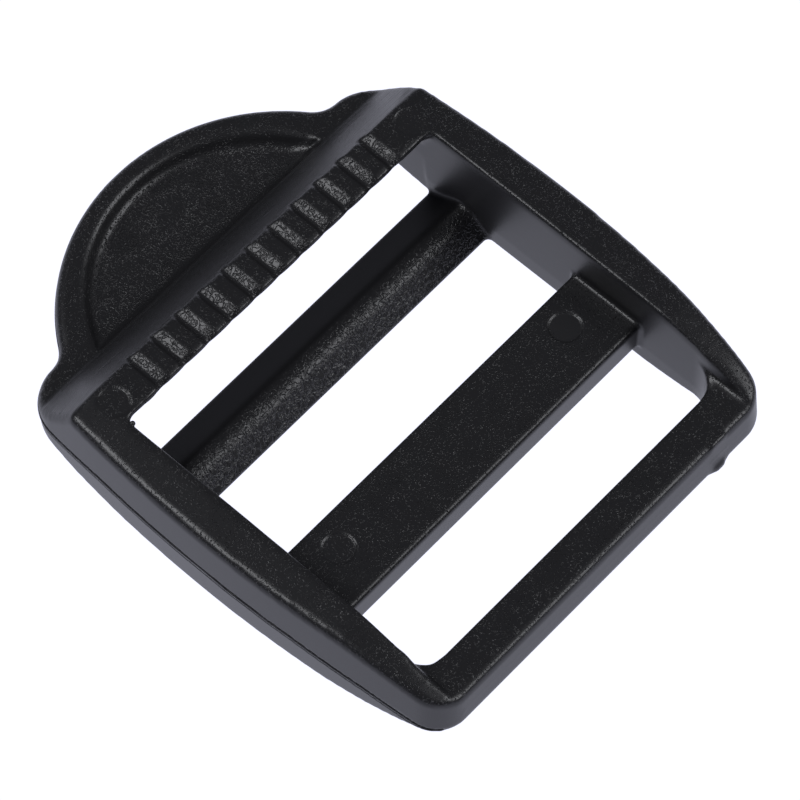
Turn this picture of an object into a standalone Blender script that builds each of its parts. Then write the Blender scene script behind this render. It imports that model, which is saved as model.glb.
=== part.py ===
"""Ladder-lock buckle slider for 25 mm webbing, moulded in one piece.

The frame has two side rails, a toothed bar with a thumb tab behind it, a low ridged bar,
a centre bar and an end bar. Everything is in metres, +Z up. The strap runs along Y: the
thumb tab is at +Y and the end bar at -Y. The origin is under the middle of the frame, on
the surface that the rails stand on.
"""

import math

import bmesh
import bpy

MM = 0.001

# Webbing and overall sizes
WEBBING_WIDTH = 25.0 * MM
WEBBING_SIDE_GAP = 0.3 * MM
LENGTH = 39.03 * MM  # from the gate remnant to the tip of the tab
RAIL_HEIGHT = 6.95 * MM
RAIL_WIDTH = 3.13 * MM
RAIL_CROWN = 0.4 * MM  # how far the rails' tops fall from their inner to their outer edges

# Plan outline
BOW_WIDEST_FROM_END = 17.35 * MM
BOW_RADIUS_TAB = 105.0 * MM
BOW_RADIUS_END = 86.0 * MM
END_CORNER_RADIUS = 2.3 * MM
SHOULDER_RADIUS = 3.1 * MM
SHOULDER_FROM_TIP = 9.4 * MM
NECK_RADIUS = 1.8 * MM
TAB_RADIUS = 13.3 * MM

# Mould parting line and draft
OUTER_DRAFT = math.radians(4.0)
INNER_DRAFT = math.radians(1.6)
INNER_PARTING_HEIGHT = 1.6 * MM
SHUT_OFF_STEP = 0.06 * MM
SHUT_OFF_ANGLE = math.radians(7.0)

# Toothed bar, from its tooth edge (at -Y) to the slope down to the tab
TOOTH_EDGE_FROM_TIP = 13.37 * MM
TOOTHED_BAR_TOP = 2.62 * MM
TOOTH_EDGE_DEPTH = 0.4 * MM
UNDERCUT_ANGLE = math.radians(33.0)
UNDERCUT_FOOT = 2.2 * MM
TAB_SLOPE_ANGLE = math.radians(48.5)
BACK_EDGE_RADIUS = 0.45 * MM
TAB_FOOT_RADIUS = 0.9 * MM

# Grooves between the teeth: steep on one side, with a long facet on the other
GROOVES = 11
GROOVE_PITCH = 1.98 * MM
GROOVE_OFFSET = -0.1 * MM
GROOVE_DEPTH = 0.42 * MM
GROOVE_STEEP_SIDE = 0.36 * MM
GROOVE_FACET_START = 0.08 * MM
GROOVE_FACET_END = 0.66 * MM
GROOVE_FACET_DEPTH = 0.3 * MM

# Thumb tab
TAB_RIM_HEIGHT = 3.6 * MM
TAB_UNDERSIDE = 1.3 * MM
TAB_FLOOR_DEPTH = 0.85 * MM
TAB_RIM_WIDTH = 1.25 * MM
TAB_RECESS_RADIUS = 10.6 * MM
TAB_RECESS_DRAFT = math.radians(33.0)
TAB_RAMP_RADIUS = 1.5 * MM
UNDERSIDE_FILLET = 1.5 * MM

# Low bar
LOW_BAR_FROM_TEETH = 0.12 * MM
LOW_BAR_WIDTH = 4.68 * MM
LOW_BAR_RIDGE = 2.2 * MM
LOW_BAR_RIDGE_FROM_EDGE = 1.75 * MM
LOW_BAR_UNDERSIDE = 0.1 * MM
LOW_BAR_EDGE = 0.25 * MM
RIDGE_RADIUS = 1.3 * MM

# Centre bar
CENTRE_GAP = 6.62 * MM
CENTRE_BAR_WIDTH = 5.22 * MM
CENTRE_BAR_TOP = 3.75 * MM
CENTRE_BAR_UNDERSIDE = 1.45 * MM
CENTRE_EDGE_RADIUS = 0.35 * MM

# End bar
END_BAR_WIDTH = 2.9 * MM
END_BAR_TOP = 4.5 * MM
END_BAR_UNDERSIDE = 1.5 * MM
END_WINDOW_RADIUS = 1.9 * MM
END_BAR_STEP = 0.06 * MM  # how far the rails stand back over the end bar

# Ejector-pin marks and the gate remnant
PIN_RADIUS = 1.0 * MM
PIN_DEPTH = 0.1 * MM
PIN_FROM_RAIL = 3.0 * MM
PIN_FROM_EDGE = 2.05 * MM
TOOTHED_PIN_FROM_RAIL = 0.1 * MM
TOOTHED_PIN_FROM_EDGE = 1.36 * MM
GATE_SIZE = 0.7 * MM
GATE_STAND = 0.15 * MM
GATE_FROM_SIDE = 6.2 * MM

# Places worked out from the sizes above
INNER_HALF = WEBBING_WIDTH / 2 + WEBBING_SIDE_GAP
OUTER_HALF = INNER_HALF + RAIL_WIDTH
END_Y = -LENGTH / 2 + GATE_STAND
TIP_Y = LENGTH / 2
WIDEST_Y = END_Y + BOW_WIDEST_FROM_END
TEETH_Y = TIP_Y - TOOTH_EDGE_FROM_TIP
TOOTHED_BACK_Y = TEETH_Y + TOOTHED_BAR_TOP
TAB_FOOT_Y = TOOTHED_BACK_Y + (RAIL_HEIGHT - TAB_RIM_HEIGHT) / math.tan(TAB_SLOPE_ANGLE)
LOW_BAR_FAR_Y = TEETH_Y - LOW_BAR_FROM_TEETH
LOW_BAR_NEAR_Y = LOW_BAR_FAR_Y - LOW_BAR_WIDTH
CENTRE_FAR_Y = LOW_BAR_NEAR_Y - CENTRE_GAP
CENTRE_NEAR_Y = CENTRE_FAR_Y - CENTRE_BAR_WIDTH
END_INNER_Y = END_Y + END_BAR_WIDTH
SHOULDER_Y = TIP_Y - SHOULDER_FROM_TIP
UNDERCUT_FOOT_Y = TEETH_Y + (
    RAIL_HEIGHT - TOOTH_EDGE_DEPTH - UNDERCUT_FOOT
) * math.tan(UNDERCUT_ANGLE)
PAST = 3.0 * MM  # how far a cutter runs past the faces it cuts
ARC_STEP = math.radians(4.0)  # the longest step of a corner's arc

# Side view of the rails: places are shares of the run between the named stations
RAIL_TOP = (
    (END_Y - PAST, END_BAR_TOP - 0.05 * MM),
    (END_Y, END_BAR_TOP),
    (END_Y + 0.8 * MM, END_BAR_TOP + 0.28 * MM),
    (END_INNER_Y, RAIL_HEIGHT - 1.42 * MM),
    (END_INNER_Y + 2.4 * MM, RAIL_HEIGHT - 0.8 * MM),
    (CENTRE_NEAR_Y - 1.2 * MM, RAIL_HEIGHT - 0.36 * MM),
    (CENTRE_FAR_Y - 1.6 * MM, RAIL_HEIGHT - 0.17 * MM),
    (CENTRE_FAR_Y + 3.6 * MM, RAIL_HEIGHT - 0.05 * MM),
    (TEETH_Y, RAIL_HEIGHT),
)
RAIL_UNDERSIDE = (
    (END_Y - PAST, END_BAR_UNDERSIDE),
    (END_Y, END_BAR_UNDERSIDE),
    (END_Y + 1.2 * MM, END_BAR_UNDERSIDE - 0.1 * MM),
    (END_INNER_Y + 0.4 * MM, 0.78 * MM),
    (CENTRE_NEAR_Y - 3.0 * MM, 0.26 * MM),
    (CENTRE_NEAR_Y, 0.0),
    (LOW_BAR_FAR_Y - 2.0 * MM, 0.0),
    (TEETH_Y + 0.6 * MM, 0.16 * MM),
    (TOOTHED_BACK_Y, 0.4 * MM),
    (TAB_FOOT_Y - 1.6 * MM, 0.78 * MM),
    (TAB_FOOT_Y + 0.8 * MM, TAB_UNDERSIDE),
    (TIP_Y + PAST, TAB_UNDERSIDE),
)
PARTING_LINE = (
    (END_Y - PAST, END_BAR_UNDERSIDE),
    (END_Y, END_BAR_UNDERSIDE),
    (END_Y + 2.5 * MM, 2.45 * MM),
    (END_Y + 5.5 * MM, 2.85 * MM),
    (CENTRE_NEAR_Y + 2.5 * MM, 3.2 * MM),
    (TEETH_Y, 3.25 * MM),
    (TAB_FOOT_Y, 2.85 * MM),
    (TIP_Y + PAST, 2.85 * MM),
)

BLACK_NYLON = (0.012, 0.012, 0.014, 1.0)


def clear_scene():
    """Removes every object in the scene."""
    for obj in list(bpy.data.objects):
        bpy.data.objects.remove(obj, do_unlink=True)


def new_collection(name):
    """A collection linked to the scene."""
    made = bpy.data.collections.new(name)
    bpy.context.scene.collection.children.link(made)
    return made


def height_at(curve, y):
    """Height of a smooth curve through (y, z) points, without overshoot between them."""
    points = [curve[0], *curve, curve[-1]]
    for before, start, end, after in zip(points, points[1:], points[2:], points[3:]):
        if start[0] <= y <= end[0] and end[0] > start[0]:
            break
    span = end[0] - start[0]
    rise = (end[1] - start[1]) / span

    def slope(low, middle, high):
        into = (middle[1] - low[1]) / (middle[0] - low[0]) if middle[0] > low[0] else rise
        out = (high[1] - middle[1]) / (high[0] - middle[0]) if high[0] > middle[0] else rise
        return 0.0 if into * out <= 0 else 2 * into * out / (into + out)

    t = (y - start[0]) / span
    first, last = slope(before, start, end), slope(start, end, after)
    return (
        (1 + 2 * t) * (1 - t) ** 2 * start[1]
        + t * (1 - t) ** 2 * span * first
        + t * t * (3 - 2 * t) * end[1]
        + t * t * (t - 1) * span * last
    )


def sampled(curve, low, high, count):
    """Points of a height curve, evenly spaced from low to high."""
    return [
        (y, height_at(curve, y))
        for y in (low + (high - low) * i / (count - 1) for i in range(count))
    ]


def arc(centre, radius, start, end, step=ARC_STEP):
    """Points round a centre from one angle to another, in radians, in equal steps."""
    count = max(2, math.ceil(abs(end - start) / step))
    return [
        (
            centre[0] + radius * math.cos(start + (end - start) * i / count),
            centre[1] + radius * math.sin(start + (end - start) * i / count),
        )
        for i in range(count + 1)
    ]


def angle_to(start, end):
    return math.atan2(end[1] - start[1], end[0] - start[0])


def rounded(corners, step=3 * ARC_STEP):
    """A polygon whose corners (a, b, radius) are rounded where the radius isn't 0."""
    points = []
    for i, (a, b, radius) in enumerate(corners):
        if not radius:
            points.append((a, b))
            continue
        before, after = corners[i - 1], corners[(i + 1) % len(corners)]
        into = angle_to((a, b), before)
        out = angle_to((a, b), after)
        half = (out - into + math.pi) % (2 * math.pi) - math.pi
        middle = into + half / 2
        reach = radius / abs(math.sin(half / 2))
        centre = (a + reach * math.cos(middle), b + reach * math.sin(middle))
        side = math.copysign(math.pi / 2, half)
        start, end = into - side, out + side
        turn = (end - start + math.pi) % (2 * math.pi) - math.pi
        points += arc(centre, radius, start, start + turn, step)
    return points


def circles_meet(first, reach_first, second, reach_second):
    """The point at two given distances from two centres, on the +X side of the line."""
    across, up = second[0] - first[0], second[1] - first[1]
    apart = math.hypot(across, up)
    along = (reach_first**2 - reach_second**2 + apart**2) / (2 * apart)
    off = math.sqrt(reach_first**2 - along**2)
    unit = (across / apart, up / apart)
    return (
        first[0] + along * unit[0] - off * unit[1],
        first[1] + along * unit[1] + off * unit[0],
    )


def frame_outline():
    """Plan outline at the parting line, anticlockwise: end bar, bowed side, shoulder, tab."""
    bow_end = (OUTER_HALF - BOW_RADIUS_END, WIDEST_Y)
    corner_y = END_Y + END_CORNER_RADIUS
    reach = BOW_RADIUS_END - END_CORNER_RADIUS
    corner = (
        bow_end[0] + math.sqrt(reach**2 - (corner_y - WIDEST_Y) ** 2),
        corner_y,
    )
    bow_tab = (OUTER_HALF - BOW_RADIUS_TAB, WIDEST_Y)
    reach = BOW_RADIUS_TAB - SHOULDER_RADIUS
    shoulder = (
        bow_tab[0] + math.sqrt(reach**2 - (SHOULDER_Y - WIDEST_Y) ** 2),
        SHOULDER_Y,
    )
    tab = (0.0, TIP_Y - TAB_RADIUS)
    neck = circles_meet(
        shoulder, SHOULDER_RADIUS + NECK_RADIUS, tab, TAB_RADIUS + NECK_RADIUS
    )
    if neck[1] < SHOULDER_Y:
        neck = circles_meet(
            tab, TAB_RADIUS + NECK_RADIUS, shoulder, SHOULDER_RADIUS + NECK_RADIUS
        )
    quarter = math.pi / 2
    corner_turn = angle_to(bow_end, corner)
    shoulder_turn = angle_to(bow_tab, shoulder)
    fine = math.radians(0.6)
    half = (
        arc(corner, END_CORNER_RADIUS, -quarter, corner_turn, 2 * ARC_STEP)
        + arc(bow_end, BOW_RADIUS_END, corner_turn, 0.0, fine)[1:]
        + arc(bow_tab, BOW_RADIUS_TAB, 0.0, shoulder_turn, fine)[1:]
        + arc(shoulder, SHOULDER_RADIUS, shoulder_turn, angle_to(shoulder, neck))[1:]
        + arc(neck, NECK_RADIUS, angle_to(neck, shoulder), angle_to(neck, tab))[1:]
        + arc(tab, TAB_RADIUS, angle_to(tab, neck), quarter, ARC_STEP / 2)[1:]
    )
    return half + [(-x, y) for x, y in reversed(half[:-1])]


def add_object(name, bm, collection, helper=False):
    """A mesh object with its faces turned outwards. A helper isn't part of the frame."""
    bmesh.ops.recalc_face_normals(bm, faces=bm.faces)
    mesh = bpy.data.meshes.new(name)
    bm.to_mesh(mesh)
    bm.free()
    obj = bpy.data.objects.new(name, mesh)
    collection.objects.link(obj)
    if helper:
        obj.hide_render = True
        obj.display_type = "WIRE"
    return obj


def extruded(bm, points, offset):
    """A closed prism: the polygon through points, swept along offset."""
    face = bm.faces.new([bm.verts.new(p) for p in points])
    swept = bmesh.ops.extrude_face_region(bm, geom=[face])["geom"]
    moved = [v for v in swept if isinstance(v, bmesh.types.BMVert)]
    bmesh.ops.translate(bm, verts=moved, vec=offset)


def bar_prism(name, profile, half_width, collection):
    """A (y, z) profile swept across the frame along X."""
    bm = bmesh.new()
    extruded(bm, [(-half_width, y, z) for y, z in profile], (2 * half_width, 0, 0))
    return add_object(name, bm, collection, helper=True)


def inset(outline, distance):
    """The outline moved inwards, by one distance for each point."""
    moved = []
    for i, (x, y) in enumerate(outline):
        before, after = outline[i - 1], outline[(i + 1) % len(outline)]
        into = angle_to(before, (x, y)) + math.pi / 2
        out = angle_to((x, y), after) + math.pi / 2
        share = distance[i] / (1 + math.cos(out - into))
        moved.append(
            (
                x + share * (math.cos(into) + math.cos(out)),
                y + share * (math.sin(into) + math.sin(out)),
            )
        )
    return moved


def drafted_prism(name, outline, parting, draft, low, high, collection):
    """An outline that tapers both ways from its parting line. A negative draft widens it."""
    taper = math.tan(draft)
    middle = [(x, y, parting(y)) for x, y in outline]
    rings = [middle]
    for level in (low, high):
        inwards = [abs(level - z) * taper for _, _, z in middle]
        rings.append([(x, y, level) for x, y in inset(outline, inwards)])
    bm = bmesh.new()
    middle, bottom, top = ([bm.verts.new(p) for p in ring] for ring in rings)
    count = len(outline)
    for lower, upper in ((bottom, middle), (middle, top)):
        for i in range(count):
            j = (i + 1) % count
            bm.faces.new((lower[i], lower[j], upper[j], upper[i]))
    bm.faces.new(bottom[::-1])
    bm.faces.new(top)
    return add_object(name, bm, collection, helper=True)


def cylinder(bm, radius, depth, place, draft=0.0, sides=40):
    """A closed cylinder along Z round its place. Draft widens it upwards from there."""
    flare = math.tan(draft) * depth / 2
    made = bmesh.ops.create_cone(
        bm,
        cap_ends=True,
        segments=sides,
        radius1=radius - flare,
        radius2=radius + flare,
        depth=depth,
    )["verts"]
    bmesh.ops.translate(bm, verts=made, vec=place)


def apply_boolean(obj, other, operation):
    """Joins, cuts or crosses obj with other, and keeps the result as its mesh."""
    modifier = obj.modifiers.new(other.name, "BOOLEAN")
    modifier.operation = operation
    modifier.solver = "EXACT"
    modifier.object = other
    graph = bpy.context.evaluated_depsgraph_get()
    mesh = bpy.data.meshes.new_from_object(obj.evaluated_get(graph))
    obj.modifiers.clear()
    obj.data = mesh


def crowned_blank(name, collection):
    """Side view of the whole frame swept across it, with the rails' tops falling outwards."""
    top = sampled(RAIL_TOP, END_Y - PAST, TEETH_Y, 44)
    under = sampled(RAIL_UNDERSIDE, END_Y - PAST, TIP_Y + PAST, 60)
    behind = rounded(
        (
            (TEETH_Y, RAIL_HEIGHT, 0),
            (TOOTHED_BACK_Y, RAIL_HEIGHT, BACK_EDGE_RADIUS),
            (TAB_FOOT_Y, TAB_RIM_HEIGHT, TAB_FOOT_RADIUS),
            (TIP_Y + PAST, TAB_RIM_HEIGHT, 0),
        )
    )
    profile = top + behind[1:] + under[::-1]
    crowned = len(top) + len(behind) - 1
    wide = OUTER_HALF + PAST
    fall = RAIL_CROWN / RAIL_WIDTH
    bm = bmesh.new()
    rings = []
    for x in (-wide, -INNER_HALF, INNER_HALF, wide):
        drop = (abs(x) - INNER_HALF) * fall
        ring = []
        for i, (y, z) in enumerate(profile):
            share = (z - TAB_RIM_HEIGHT) / (RAIL_HEIGHT - TAB_RIM_HEIGHT)
            lower = drop * min(1.0, share) if i < crowned else 0.0
            ring.append(bm.verts.new((x, y, z - lower)))
        rings.append(ring)
    for ring, after in zip(rings, rings[1:]):
        for i in range(len(profile)):
            bm.faces.new((ring[i - 1], ring[i], after[i], after[i - 1]))
    bm.faces.new(rings[0])
    bm.faces.new(rings[-1][::-1])
    return add_object(name, bm, collection)


def toothed_bar_space():
    """What the toothed bar and the tab fill between the rails, in side view."""
    above, below = RAIL_HEIGHT + PAST, -PAST
    return rounded(
        (
            (TEETH_Y, above, 0),
            (TEETH_Y, RAIL_HEIGHT - TOOTH_EDGE_DEPTH, 0),
            (UNDERCUT_FOOT_Y, UNDERCUT_FOOT, UNDERSIDE_FILLET),
            (TAB_FOOT_Y, TAB_UNDERSIDE - 0.3 * MM, 0),
            (TAB_FOOT_Y, below, 0),
            (TIP_Y + PAST, below, 0),
            (TIP_Y + PAST, above, 0),
        )
    )


def low_bar_space():
    """Section of the low bar: a steep face towards the end bar and a long one to the teeth."""
    near, far = LOW_BAR_NEAR_Y, LOW_BAR_FAR_Y
    ridge = near + LOW_BAR_RIDGE_FROM_EDGE
    edge = LOW_BAR_UNDERSIDE + LOW_BAR_EDGE
    return rounded(
        (
            (near, LOW_BAR_UNDERSIDE, 0),
            (far, LOW_BAR_UNDERSIDE, 0),
            (far, edge, 0),
            (ridge, LOW_BAR_RIDGE, RIDGE_RADIUS),
            (near, edge, 0),
        )
    )


def centre_bar_space():
    """Section of the centre bar, with its top edges rounded for the webbing."""
    return rounded(
        (
            (CENTRE_NEAR_Y, CENTRE_BAR_UNDERSIDE, 0),
            (CENTRE_FAR_Y, CENTRE_BAR_UNDERSIDE, 0),
            (CENTRE_FAR_Y, CENTRE_BAR_TOP, CENTRE_EDGE_RADIUS / 2),
            (CENTRE_NEAR_Y, CENTRE_BAR_TOP, CENTRE_EDGE_RADIUS),
        )
    )


def window_outline():
    """Plan of the room between the rails, with round corners at the end bar."""
    far = TAB_FOOT_Y
    inner = INNER_HALF - END_WINDOW_RADIUS
    corner_y = END_INNER_Y + END_WINDOW_RADIUS
    left = arc((-inner, corner_y), END_WINDOW_RADIUS, math.pi, 1.5 * math.pi)
    right = [(-x, y) for x, y in reversed(left)]
    return [*left, *right, (INNER_HALF, far), (-INNER_HALF, far)]


def strap_space(cutters):
    """The room between the rails that the bars leave free."""
    wide = OUTER_HALF + PAST
    low, high = -PAST, RAIL_HEIGHT + PAST
    space = drafted_prism(
        "strap_space",
        window_outline(),
        lambda y: INNER_PARTING_HEIGHT,
        -INNER_DRAFT,
        low,
        high,
        cutters,
    )
    over_end_bar = [
        (END_Y - PAST, END_BAR_TOP),
        (END_INNER_Y + END_WINDOW_RADIUS, END_BAR_TOP),
        (END_INNER_Y + END_WINDOW_RADIUS, high - 1.0 * MM),
        (END_Y - PAST, high - 1.0 * MM),
    ]
    lean = math.tan(SHUT_OFF_ANGLE)
    behind_teeth = [
        (TEETH_Y + lean * low, low),
        (TAB_FOOT_Y - 0.2 * MM, low),
        (TAB_FOOT_Y - 0.2 * MM, high - 1.0 * MM),
        (TEETH_Y + lean * (high - 1.0 * MM), high - 1.0 * MM),
    ]
    for name, profile, half_width in (
        ("space_over_end_bar", over_end_bar, INNER_HALF + END_BAR_STEP),
        ("space_behind_teeth", behind_teeth, INNER_HALF + SHUT_OFF_STEP),
    ):
        apply_boolean(space, bar_prism(name, profile, half_width, cutters), "UNION")
    for name, profile in (
        ("toothed_bar_keep", toothed_bar_space()),
        ("low_bar_keep", low_bar_space()),
        ("centre_bar_keep", centre_bar_space()),
    ):
        apply_boolean(space, bar_prism(name, profile, wide, cutters), "DIFFERENCE")
    return space


def tab_recess(cutters):
    """The finger recess of the tab: a round pocket whose floor curves up to the slope."""
    floor = TAB_RIM_HEIGHT - TAB_FLOOR_DEPTH
    centre_y = TIP_Y - TAB_RIM_WIDTH - TAB_RECESS_RADIUS
    foot_y = TOOTHED_BACK_Y + (RAIL_HEIGHT - floor) / math.tan(TAB_SLOPE_ANGLE)
    ramp_y = foot_y + TAB_RAMP_RADIUS * math.tan(TAB_SLOPE_ANGLE / 2)
    ramp = arc(
        (ramp_y, floor + TAB_RAMP_RADIUS),
        TAB_RAMP_RADIUS,
        -math.pi / 2,
        -math.pi / 2 - TAB_SLOPE_ANGLE - math.radians(25),
    )
    above = RAIL_HEIGHT + PAST
    profile = [(TIP_Y + PAST, floor), *ramp, (ramp[-1][0], above), (TIP_Y + PAST, above)]
    recess = bar_prism("tab_recess", profile, OUTER_HALF, cutters)
    bm = bmesh.new()
    rim = (0, centre_y, TAB_RIM_HEIGHT)
    cylinder(bm, TAB_RECESS_RADIUS, 2 * above, rim, TAB_RECESS_DRAFT, sides=150)
    pocket = add_object("tab_pocket", bm, cutters, helper=True)
    apply_boolean(recess, pocket, "INTERSECT")
    return recess


def grooves(cutters):
    """The grooves between the teeth, which run out through the slope to the tab."""
    above = 1.0 * MM
    steep = GROOVE_STEEP_SIDE * (1 + above / GROOVE_DEPTH)
    rise = (GROOVE_FACET_END - GROOVE_FACET_START) / GROOVE_FACET_DEPTH
    section = (
        (0.0, -GROOVE_DEPTH),
        (GROOVE_FACET_START, -GROOVE_FACET_DEPTH),
        (GROOVE_FACET_END + rise * above, above),
        (-steep, above),
    )
    bm = bmesh.new()
    for i in range(GROOVES):
        middle = GROOVE_OFFSET + (i - (GROOVES - 1) / 2) * GROOVE_PITCH
        corners = [(middle + x, TEETH_Y - PAST, RAIL_HEIGHT + z) for x, z in section]
        extruded(bm, corners, (0, TOOTHED_BAR_TOP + 2 * PAST, 0))
    return add_object("grooves", bm, cutters, helper=True)


def pin_marks(cutters):
    """Shallow round marks of the ejector pins, on the centre bar and the toothed bar."""
    centre_x = INNER_HALF - PIN_FROM_RAIL
    centre_y = CENTRE_FAR_Y - PIN_FROM_EDGE
    teeth_x = INNER_HALF - TOOTHED_PIN_FROM_RAIL
    teeth_y = TEETH_Y + TOOTHED_PIN_FROM_EDGE
    bm = bmesh.new()
    for x, y, top in (
        (centre_x, centre_y, CENTRE_BAR_TOP),
        (teeth_x, teeth_y, RAIL_HEIGHT),
    ):
        for side in (-1, 1):
            depth = 2 * MM
            cylinder(bm, PIN_RADIUS, depth, (side * x, y, top - PIN_DEPTH + depth / 2))
    return add_object("pin_marks", bm, cutters, helper=True)


def gate_remnant(cutters):
    """The broken stub of the gate, on the outer face of the end bar."""
    bm = bmesh.new()
    made = bmesh.ops.create_cube(bm, size=GATE_SIZE)["verts"]
    middle = END_Y - GATE_STAND + GATE_SIZE / 2
    for v in made:
        v.co.x += OUTER_HALF - GATE_FROM_SIDE
        v.co.y += middle
        v.co.z = v.co.z * 0.7 + END_BAR_UNDERSIDE + 0.5 * GATE_SIZE
    return add_object("gate_remnant", bm, cutters, helper=True)


def plastic():
    """Black moulded nylon."""
    material = bpy.data.materials.new("black_nylon")
    material.use_nodes = True
    shader = material.node_tree.nodes["Principled BSDF"]
    shader.inputs["Base Color"].default_value = BLACK_NYLON
    shader.inputs["Roughness"].default_value = 0.45
    shader.inputs["Metallic"].default_value = 0.0
    material.diffuse_color = BLACK_NYLON
    return material


def buckle_frame(parts, cutters):
    """The moulded frame: side view crossed with plan, less the strap's room and details."""
    blank = crowned_blank("buckle_frame", parts)
    mould = drafted_prism(
        "mould",
        frame_outline(),
        lambda y: height_at(PARTING_LINE, y),
        OUTER_DRAFT,
        -PAST,
        RAIL_HEIGHT + PAST,
        cutters,
    )
    apply_boolean(blank, mould, "INTERSECT")
    apply_boolean(blank, strap_space(cutters), "DIFFERENCE")
    apply_boolean(blank, tab_recess(cutters), "DIFFERENCE")
    apply_boolean(blank, grooves(cutters), "DIFFERENCE")
    apply_boolean(blank, pin_marks(cutters), "DIFFERENCE")
    apply_boolean(blank, gate_remnant(cutters), "UNION")
    blank.data.materials.clear()
    blank.data.materials.append(plastic())
    blank.data.shade_smooth()
    blank.data.set_sharp_from_angle(angle=math.radians(30))
    return blank


def main():
    clear_scene()
    parts = new_collection("buckle_slider")
    cutters = new_collection("cutters")
    buckle_frame(parts, cutters)


main()
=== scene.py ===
"""Looks for the moulded buckle slider: rounded mesh, moulding details, nylon, stage and camera.

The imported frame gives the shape. Its mesh is copied, its edges are rounded as a mould rounds them,
and the fine details are added as geometry. Lengths are in millimetres until a mesh is stored.
"""

import math

import bpy
import numpy as np
import openvdb
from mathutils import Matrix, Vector

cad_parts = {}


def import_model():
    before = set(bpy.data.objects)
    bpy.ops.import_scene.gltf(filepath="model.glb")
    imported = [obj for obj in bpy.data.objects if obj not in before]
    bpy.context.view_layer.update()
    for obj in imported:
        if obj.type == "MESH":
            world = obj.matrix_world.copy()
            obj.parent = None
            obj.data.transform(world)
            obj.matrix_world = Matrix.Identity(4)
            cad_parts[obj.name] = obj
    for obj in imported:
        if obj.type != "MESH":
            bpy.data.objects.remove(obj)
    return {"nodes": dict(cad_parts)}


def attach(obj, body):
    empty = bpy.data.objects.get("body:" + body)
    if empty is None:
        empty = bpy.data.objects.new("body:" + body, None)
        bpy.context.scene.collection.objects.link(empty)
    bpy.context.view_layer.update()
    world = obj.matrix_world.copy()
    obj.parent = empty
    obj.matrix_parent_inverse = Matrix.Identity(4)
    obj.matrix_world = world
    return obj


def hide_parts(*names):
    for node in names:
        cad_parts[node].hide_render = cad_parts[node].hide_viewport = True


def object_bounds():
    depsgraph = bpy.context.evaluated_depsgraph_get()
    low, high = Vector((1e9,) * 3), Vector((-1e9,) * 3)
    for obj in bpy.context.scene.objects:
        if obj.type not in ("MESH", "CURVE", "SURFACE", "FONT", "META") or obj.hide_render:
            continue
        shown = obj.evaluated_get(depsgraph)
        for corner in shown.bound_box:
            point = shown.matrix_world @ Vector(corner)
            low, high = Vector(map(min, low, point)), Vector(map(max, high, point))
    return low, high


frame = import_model()
cad_low, cad_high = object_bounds()

MM = 0.001
VOXEL = 0.075

# Rounding of the crisp surface's inner corners and outer edges, and of both on the soft surface
FILLET = 0.16
EDGE_ROUND = 0.12
SOFT_ROUND = 0.55
# How far from the surface the two grids hold distances, and the cells kept round the CAD box
GRID_REACH = 0.3
GRID_MARGIN = 4
# Share of the soft surface: the end bar's outer side, the window corners beside it, the rails'
# inner top edges, and the tooth edge
SOFT_END = 0.7
SOFT_CORNER = 0.6
SOFT_TOP = 0.28
SOFT_TEETH = 0.25

BODY = "root"
NODE = "buckle_frame"

# Places on the frame, in mm
INNER_WALL = 12.8
TEETH_Y = 6.15
BAR_BACK_Y = 8.77
TAB_FOOT_Y = 11.8
TAB_CENTRE_Y = 6.2
TAB_RADIUS = 13.3
TOP = 6.95
TAB_TOP = 3.6
END_BAR_OUTER = -19.36
# Near edge, ridge and far edge of the low bar
LOW_BAR = (1.35, 2.9, 6.03)
# Parting line on the outer walls: y and height
PARTING = (
    (-20.0, 1.5),
    (-16.8, 2.05),
    (-14.0, 2.6),
    (-9.0, 3.05),
    (-3.0, 3.2),
    (6.3, 3.2),
    (9.8, 2.85),
    (20.0, 2.7),
)
# Pin marks: x, y, height of the face, and how much of the face's grain is left inside
PINS = (
    (9.8, -7.32, 3.75, 0.15),
    (-9.8, -7.32, 3.75, 0.8),
    (12.7, 7.51, 6.95, 0.7),
    (-12.7, 7.51, 6.95, 0.7),
)
PIN_RADIUS = 0.98
PIN_DEPTH = 0.1
PIN_RIM = 0.1
GATE = (9.76, -19.5)
# Speck of flash left at the end of the tooth edge
FLASH = (-12.92, 5.8, 6.74)
FLASH_RADIUS = 0.17
# Height and half width of the parting line's ridge, and half the width of its sloped edges
RIDGE_HEIGHT = 0.03
RIDGE_HALF = 0.1
RIDGE_FADE = 0.04
# Depth of the groove on each side of the ridge, the distance from the ridge's edge to its middle,
# and the distances from its middle where it starts and stops fading out
GROOVE_DEPTH = 0.09
GROOVE_OFF = 0.09
GROOVE_FADE = (0.05, 0.09)

# Noise scales of the nylon's grain, per metre
SPECKLE_SCALE = 9000.0
LARGE_SCALE = 7500.0
UNEVEN_SCALE = 500.0
WORM_SCALE = 3000.0
SCRATCH_SCALE = 900.0
SCRATCH_STRETCH = (0.12, 3.0, 3.0)
SATIN_SCALE = 2600.0
# Heights of the grain, in metres
SATIN_HEIGHT = 0.000008
SCRATCH_HEIGHT = 0.00006
GRAIN_HEIGHT = 0.00012
WORM_HEIGHT = 0.00005
SPECKLE_HEIGHT = 0.00004
# Strengths of the grain
SATIN_BUMP = 0.25
SCRATCH_BUMP = 0.7
WORM_BUMP = 0.55
SPECKLE_BUMP = 0.1
FLOOR_GRAIN = 0.9
# Roughness of a smooth place, and what fine, coarse and dark places take off it
ROUGHNESS = 0.4
FINE_LESS_ROUGH = 0.1
COARSE_LESS_ROUGH = 0.1
DARK_LESS_ROUGH = 0.05
# Specular level, and what the low bar's far face takes off it as painted shade, standing for the
# shade under the toothed bar
SHINE = 0.32
PAINTED_SHADE_LESS_SHINE = 0.26
NYLON_IOR = 1.5
NYLON_BLACK = (0.0105, 0.0105, 0.0118, 1)
NYLON_TINT = (0.95, 0.96, 1.0, 1)

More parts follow.
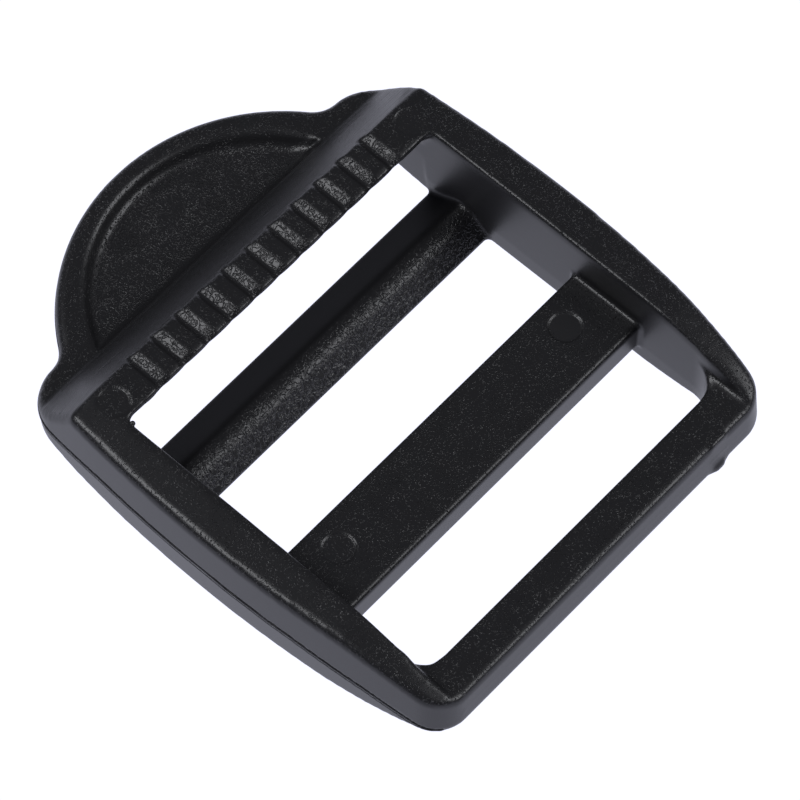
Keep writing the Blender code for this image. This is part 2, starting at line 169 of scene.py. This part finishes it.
# Stage: the table's half width and its gap below the object are in metres
TABLE_HALF = 0.6
TABLE_GAP = 0.0001
TABLE_GLOW = (0.85, 0.86, 1.0)
TABLE_STRENGTH = 1.2
WORLD_COLOUR = (0.9, 0.92, 1.0, 1)
WORLD_STRENGTH = 0.12
LIGHT_DISTANCE = 0.9

# Camera: angles in degrees, the target's place from the object's middle and its distance in mm
CAMERA_HEADING = 47.8
CAMERA_ELEVATION = 61.46
CAMERA_TARGET = (-0.23, -3.37, 0.12)
CAMERA_DISTANCE = 345.3
CAMERA_LENS = 267.75


# ---------------------------------------------------------------- shape


def mesh_arrays(mesh):
    """Points in mm and triangles of a mesh."""
    points = np.empty(len(mesh.vertices) * 3, np.float32)
    mesh.vertices.foreach_get("co", points)
    mesh.calc_loop_triangles()
    triangles = np.empty(len(mesh.loop_triangles) * 3, np.int32)
    mesh.loop_triangles.foreach_get("vertices", triangles)
    return points.reshape(-1, 3) / MM, triangles.reshape(-1, 3).astype(np.uint32)


def distance_grid(points, faces, reach):
    """A level set of the surface that holds distances up to reach."""
    sided = {"triangles" if faces.shape[1] == 3 else "quads": faces}
    return openvdb.FloatGrid.createLevelSetFromPolygons(
        points.astype(np.float32),
        transform=openvdb.createLinearTransform(voxelSize=VOXEL),
        halfWidth=abs(reach) / VOXEL + 3.0,
        **sided,
    )


def moved_surface(points, faces, distance):
    """The surface moved out by distance, or in where it is negative, as quads."""
    return distance_grid(points, faces, distance).convertToQuads(isovalue=distance)


def rounded(points, faces, fillet, radius):
    """The surface with its inner corners filleted and its outer edges rounded."""
    for distance in (fillet, -fillet - radius, radius):
        points, faces = moved_surface(points, faces, distance)
    return points, faces


def step(low, high, value):
    """0 below low, 1 above high, and smooth between them."""
    t = np.clip((value - low) / (high - low), 0.0, 1.0)
    return t * t * (3 - 2 * t)


def blurred(field):
    """A field averaged with its neighbours, which softens voxel steps."""
    for axis in range(3):
        first, last = [slice(None)] * 3, [slice(None)] * 3
        first[axis], last[axis] = slice(0, -1), slice(1, None)
        for side in ((1, 0), (0, 1)):
            half = (field[tuple(first)] + field[tuple(last)]) * 0.5
            pad = [(0, 0)] * 3
            pad[axis] = side
            field = np.pad(half, pad, mode="edge")
    return field


def soft_share(x, y, z):
    """How far each place takes the softly rounded surface instead of the crisp one."""
    wide = np.abs(x)
    side = step(INNER_WALL + 0.7, INNER_WALL + 1.2, wide)
    end = SOFT_END * step(END_BAR_OUTER + 1.0, END_BAR_OUTER + 0.6, y)
    corner = SOFT_CORNER * step(INNER_WALL - 1.6, INNER_WALL - 0.8, wide) * step(-15.0, -16.0, y)
    tab = step(TAB_FOOT_Y + 0.4, TAB_FOOT_Y + 0.8, y) * step(2.0, 2.4, z)
    top = SOFT_TOP * step(TOP - 2.2, TOP - 1.6, z)
    top = top * step(INNER_WALL - 1.0, INNER_WALL - 0.7, wide)
    teeth = SOFT_TEETH * step(TOP - 1.2, TOP - 0.7, z) * step(TEETH_Y + 0.5, TEETH_Y + 0.3, y)
    shares = (side * np.ones_like(z), end, corner, tab, top, teeth)
    whole = np.zeros(np.broadcast_shapes(x.shape, y.shape, z.shape), np.float32)
    for share in shares:
        whole = np.maximum(whole, share)
    return whole * step(0.6, 1.0, np.hypot(x - GATE[0], y - GATE[1]))


def parting_line(x, y, z):
    """How far the outer walls stand out at the parting line, below 0 in the grooves beside it."""
    line = np.interp(y, [p[0] for p in PARTING], [p[1] for p in PARTING])
    off = np.abs(z - line)
    band = 1.0 - step(RIDGE_HALF - RIDGE_FADE, RIDGE_HALF + RIDGE_FADE, off)
    outside = np.maximum(
        step(INNER_WALL + 0.7, INNER_WALL + 0.9, np.abs(x)),
        step(TAB_RADIUS - 0.6, TAB_RADIUS - 0.4, np.hypot(x, y - TAB_CENTRE_Y))
        * (y > TAB_FOOT_Y - 1.5),
    )
    groove = 1.0 - step(*GROOVE_FADE, np.abs(off - RIDGE_HALF - GROOVE_OFF))
    return (RIDGE_HEIGHT * band - GROOVE_DEPTH * groove) * outside


def sampled(grid, start, shape):
    """The grid's distances as an array of that shape, from the cell start."""
    field = np.zeros(shape, np.float32)
    grid.copyToArray(field, ijk=start)
    return field


def rounded_copy(mesh):
    """The mesh with its edges rounded, and with its parting line, pin marks and flash."""
    source = mesh_arrays(mesh)
    crisp = distance_grid(*rounded(*source, FILLET, EDGE_ROUND), GRID_REACH)
    soft = distance_grid(*rounded(*source, SOFT_ROUND, SOFT_ROUND), GRID_REACH)
    low = [math.floor(v / VOXEL) - GRID_MARGIN for v in cad_low / MM]
    high = [math.ceil(v / VOXEL) + GRID_MARGIN for v in cad_high / MM]
    shape = [last - first + 1 for first, last in zip(low, high)]
    field = sampled(crisp, low, shape)
    softer = sampled(soft, low, shape)
    x, y, z = (
        (np.arange(n, dtype=np.float32) + start).reshape([-1 if i == axis else 1 for i in range(3)])
        * VOXEL
        for axis, (n, start) in enumerate(zip(shape, low))
    )
    share = soft_share(x, y, z).astype(np.float32)
    field = blurred(field + (softer - field) * share)
    field -= parting_line(x, y, z).astype(np.float32)
    for px, py, top, _ in PINS:
        round_wall = PIN_RADIUS - np.hypot(x - px, y - py)
        field = np.maximum(field, np.minimum(round_wall, z - top + PIN_DEPTH).astype(np.float32))
    off = np.sqrt((x - FLASH[0]) ** 2 + (y - FLASH[1]) ** 2 + (z - FLASH[2]) ** 2)
    field = np.minimum(field, (off - FLASH_RADIUS).astype(np.float32))
    made = openvdb.FloatGrid(float(field.max()))
    made.transform = openvdb.createLinearTransform(voxelSize=VOXEL)
    made.copyFromArray(field, ijk=low)
    made.gridClass = openvdb.GridClass.LEVEL_SET
    points, faces = made.convertToQuads(isovalue=0.0)
    return np.clip(points, np.array(cad_low) / MM, np.array(cad_high) / MM), faces


def new_mesh(name, points, faces):
    """A mesh of quads from points in mm."""
    mesh = bpy.data.meshes.new(name)
    mesh.vertices.add(len(points))
    mesh.vertices.foreach_set("co", (points * MM).astype(np.float32).ravel())
    mesh.loops.add(faces.size)
    mesh.loops.foreach_set("vertex_index", faces.astype(np.int32).ravel())
    mesh.polygons.add(len(faces))
    mesh.polygons.foreach_set("loop_start", np.arange(0, faces.size, 4, dtype=np.int32))
    mesh.update(calc_edges=True)
    mesh.validate()
    return mesh


def add_mask(mesh, name, values):
    """Stores a value from 0 to 1 at each point, which the material reads by name."""
    layer = mesh.attributes.new(name, "FLOAT", "POINT")
    layer.data.foreach_set("value", np.clip(values, 0, 1).astype(np.float32))


def finish_masks(mesh):
    """Marks each finish: fine or leathery grain, scratched slope and tab floor; and the low bar's
    smooth far face, whose lowered shine is painted shade.
    """
    count = len(mesh.vertices)
    points = np.empty(count * 3, np.float32)
    normals = np.empty(count * 3, np.float32)
    mesh.vertices.foreach_get("co", points)
    mesh.vertex_normals.foreach_get("vector", normals)
    x, y, z = (points.reshape(-1, 3) / MM).T
    nx, ny, nz = normals.reshape(-1, 3).T
    near, ridge, far = LOW_BAR
    between = step(INNER_WALL + 0.1, INNER_WALL - 0.1, np.abs(x))
    low_bar = between * step(2.5, 2.2, z) * step(near - 0.3, near, y) * step(far + 0.4, far, y)
    low_near = low_bar * step(0.35, 0.1, ny) * step(0.1, 0.4, nz)
    low_near = low_near * step(ridge + 0.7, ridge + 0.1, y)
    low_far = low_bar * step(0.1, 0.35, ny)
    teeth = between * step(TOP - 0.7, TOP - 0.5, z) * step(TEETH_Y - 0.3, TEETH_Y, y)
    teeth = teeth * step(BAR_BACK_Y + 0.1, BAR_BACK_Y - 0.2, y)
    facet = teeth * step(-0.2, -0.34, nx) * step(0.5, 0.7, nz)
    slope = step(TAB_TOP - 0.2, TAB_TOP + 0.2, z) * step(BAR_BACK_Y - 0.2, BAR_BACK_Y + 0.1, y)
    slope = slope * step(0.3, 0.6, ny)
    coarse = np.maximum(low_near, facet)
    fine = step(0.35, 0.6, nz) + step(-0.6, -0.8, nz)
    fine = fine * (1 - coarse) * (1 - low_far) * (1 - 0.65 * slope)
    for px, py, _, kept in PINS:
        outside = step(PIN_RADIUS - PIN_RIM, PIN_RADIUS, np.hypot(x - px, y - py))
        fine = fine * (kept + (1 - kept) * outside)
    tab = step(TAB_FOOT_Y + 0.3, TAB_FOOT_Y + 0.8, y) * step(TAB_TOP - 0.1, TAB_TOP - 0.4, z)
    tab = tab * step(0.8, 0.9, nz)
    add_mask(mesh, "fine", fine)
    add_mask(mesh, "coarse", coarse)
    add_mask(mesh, "slope", slope)
    add_mask(mesh, "tab_floor", tab)
    # The low bar's far face: smoother, and its shine is lowered as painted shade for the shade under
    # the toothed bar
    add_mask(mesh, "smooth_face_painted_shade", low_far)


def buckle():
    """The visible buckle, which stands for the CAD frame."""
    source = frame["nodes"][NODE].data
    points, faces = rounded_copy(source)
    mesh = new_mesh("moulded_buckle", points, faces[:, ::-1])
    obj = bpy.data.objects.new("moulded_buckle", mesh)
    bpy.context.scene.collection.objects.link(obj)
    mesh.shade_smooth()
    finish_masks(mesh)
    mesh.materials.append(nylon())
    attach(obj, BODY)
    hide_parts(NODE)


# ---------------------------------------------------------------- material


class Nodes:
    """Adds shader nodes and links them in one call."""

    def __init__(self, tree):
        self.tree = tree

    def add(self, kind, **settings):
        node = self.tree.nodes.new(kind)
        for key, value in settings.items():
            setattr(node, key, value)
        return node

    def feed(self, socket, value):
        if isinstance(value, bpy.types.NodeSocket):
            self.tree.links.new(value, socket)
        else:
            socket.default_value = value

    def math(self, operation, *values):
        node = self.add("ShaderNodeMath", operation=operation)
        for socket, value in zip(node.inputs, values):
            self.feed(socket, value)
        return node.outputs[0]

    def mask(self, name):
        return self.add("ShaderNodeAttribute", attribute_name=name).outputs["Fac"]

    def noise(self, place, scale, detail, roughness=0.5, distortion=0.0, stretch=None):
        node = self.add("ShaderNodeTexNoise")
        if stretch:
            mapping = self.add("ShaderNodeMapping")
            self.feed(mapping.inputs["Vector"], place)
            mapping.inputs["Scale"].default_value = stretch
            place = mapping.outputs[0]
        self.feed(node.inputs["Vector"], place)
        for name, value in (
            ("Scale", scale),
            ("Detail", detail),
            ("Roughness", roughness),
            ("Distortion", distortion),
        ):
            node.inputs[name].default_value = value
        return node.outputs["Fac"]

    def ramp(self, value, low, high, out_low=0.0, out_high=1.0):
        node = self.add("ShaderNodeMapRange", interpolation_type="SMOOTHSTEP")
        for socket, v in zip(node.inputs, (value, low, high, out_low, out_high)):
            self.feed(socket, v)
        return node.outputs[0]

    def bump(self, height, strength, distance, normal=None):
        node = self.add("ShaderNodeBump")
        self.feed(node.inputs["Height"], height)
        self.feed(node.inputs["Strength"], strength)
        node.inputs["Distance"].default_value = distance
        if normal:
            self.feed(node.inputs["Normal"], normal)
        return node.outputs[0]


def nylon():
    """Black moulded nylon, with the grain of each part of the mould, and painted shade on the low
    bar's far face.
    """
    material = bpy.data.materials.new("black_nylon")
    material.use_nodes = True
    nodes = Nodes(material.node_tree)
    shader = material.node_tree.nodes["Principled BSDF"]
    place = nodes.add("ShaderNodeTexCoord").outputs["Object"]
    fine, coarse = nodes.mask("fine"), nodes.mask("coarse")
    slope, tab_floor, dark = nodes.mask("slope"), nodes.mask("tab_floor"), nodes.mask("smooth_face_painted_shade")

    speckle = nodes.noise(place, SPECKLE_SCALE, 1.0, 0.5)
    large = nodes.noise(place, LARGE_SCALE, 1.0, 0.5)
    peaks = nodes.ramp(speckle, 0.58, 0.76)
    large_peaks = nodes.math("MULTIPLY", nodes.ramp(large, 0.54, 0.72), tab_floor)
    uneven = nodes.noise(place, UNEVEN_SCALE, 2.0, 0.5)
    worm = nodes.math("SUBTRACT", nodes.noise(place, WORM_SCALE, 1.5, 0.5, 0.6), 0.5)
    worm = nodes.ramp(nodes.math("ABSOLUTE", worm), 0.0, 0.12)
    scratches = nodes.noise(place, SCRATCH_SCALE, 3.0, 0.7, 0.0, SCRATCH_STRETCH)
    satin = nodes.noise(place, SATIN_SCALE, 3.0, 0.6)

    grain = nodes.math("ADD", peaks, nodes.math("MULTIPLY", large_peaks, FLOOR_GRAIN))
    amount = nodes.math("MULTIPLY", fine, nodes.ramp(uneven, 0.3, 0.7, 0.25, 0.65))
    normal = nodes.bump(satin, SATIN_BUMP, SATIN_HEIGHT)
    scratched = nodes.math("MULTIPLY", slope, SCRATCH_BUMP)
    normal = nodes.bump(scratches, scratched, SCRATCH_HEIGHT, normal)
    normal = nodes.bump(grain, amount, GRAIN_HEIGHT, normal)
    normal = nodes.bump(worm, nodes.math("MULTIPLY", coarse, WORM_BUMP), WORM_HEIGHT, normal)
    speckled = nodes.math("MULTIPLY", coarse, SPECKLE_BUMP)
    normal = nodes.bump(speckle, speckled, SPECKLE_HEIGHT, normal)
    nodes.feed(shader.inputs["Normal"], normal)

    rough = nodes.math("ADD", ROUGHNESS, nodes.math("MULTIPLY", fine, -FINE_LESS_ROUGH))
    rough = nodes.math("ADD", rough, nodes.math("MULTIPLY", coarse, -COARSE_LESS_ROUGH))
    rough = nodes.math("ADD", rough, nodes.math("MULTIPLY", dark, -DARK_LESS_ROUGH))
    nodes.feed(shader.inputs["Roughness"], rough)
    shader.inputs["Base Color"].default_value = NYLON_BLACK
    shader.inputs["IOR"].default_value = NYLON_IOR
    # Less shine on the low bar's far face is painted shade, standing for the shade under the toothed
    # bar
    shine = nodes.math("SUBTRACT", SHINE, nodes.math("MULTIPLY", dark, PAINTED_SHADE_LESS_SHINE))
    nodes.feed(shader.inputs["Specular IOR Level"], shine)
    shader.inputs["Specular Tint"].default_value = NYLON_TINT
    return material


# ---------------------------------------------------------------- stage


def glowing_material(name, colour, strength):
    """A black material that only gives off light."""
    material = bpy.data.materials.new(name)
    material.use_nodes = True
    shader = material.node_tree.nodes["Principled BSDF"]
    shader.inputs["Base Color"].default_value = (0, 0, 0, 1)
    shader.inputs["Roughness"].default_value = 0.9
    shader.inputs["Specular IOR Level"].default_value = 0.0
    shader.inputs["Emission Color"].default_value = (*colour, 1)
    shader.inputs["Emission Strength"].default_value = strength
    return material


def floor():
    """A pale table that gives off its own light, so that it stays white round the object."""
    mesh = bpy.data.meshes.new("table")
    signs = ((-1, -1), (1, -1), (1, 1), (-1, 1))
    corners = [(sx * TABLE_HALF, sy * TABLE_HALF, 0) for sx, sy in signs]
    mesh.from_pydata(corners, [], [(0, 1, 2, 3)])
    obj = bpy.data.objects.new("table", mesh)
    obj.location.z = cad_low.z - TABLE_GAP
    mesh.materials.append(glowing_material("table_white", TABLE_GLOW, TABLE_STRENGTH))
    bpy.context.scene.collection.objects.link(obj)


def softbox(name, azimuth, elevation, size, watts):
    """A rectangular area light that faces the object."""
    light = bpy.data.lights.new(name, "AREA")
    light.shape = "RECTANGLE"
    light.size, light.size_y = size
    light.energy = watts
    obj = bpy.data.objects.new(name, light)
    a, e = math.radians(azimuth), math.radians(elevation)
    away = Vector((math.cos(a) * math.cos(e), math.sin(a) * math.cos(e), math.sin(e)))
    obj.location = away * LIGHT_DISTANCE
    obj.rotation_euler = away.to_track_quat("Z", "Y").to_euler()
    bpy.context.scene.collection.objects.link(obj)


def world():
    """A faint light from all round."""
    made = bpy.data.worlds.new("studio")
    made.use_nodes = True
    background = made.node_tree.nodes["Background"]
    background.inputs["Color"].default_value = WORLD_COLOUR
    background.inputs["Strength"].default_value = WORLD_STRENGTH
    bpy.context.scene.world = made


def camera():
    """The camera of the reference view: steep, from the front left, with a long lens."""
    heading, elevation = math.radians(CAMERA_HEADING), math.radians(CAMERA_ELEVATION)
    forward = Vector(
        (
            math.sin(heading) * math.cos(elevation),
            math.cos(heading) * math.cos(elevation),
            -math.sin(elevation),
        )
    )
    middle = (cad_low + cad_high) / 2
    target = middle + Vector(CAMERA_TARGET) * MM
    data = bpy.data.cameras.new("camera")
    data.sensor_width = 36.0
    data.lens = CAMERA_LENS
    data.clip_start = 0.01
    data.clip_end = 10.0
    obj = bpy.data.objects.new("camera", data)
    obj.location = target - forward * CAMERA_DISTANCE * MM
    obj.rotation_mode = "QUATERNION"
    obj.rotation_quaternion = forward.to_track_quat("-Z", "Y")
    bpy.context.scene.collection.objects.link(obj)
    bpy.context.scene.camera = obj


buckle()
floor()
world()
softbox("left_box", azimuth=138, elevation=53, size=(0.5, 0.4), watts=5.2)
softbox("right_box", azimuth=-50, elevation=41, size=(0.5, 0.45), watts=4.4)
camera()
bpy.context.scene.view_settings.view_transform = "Standard"
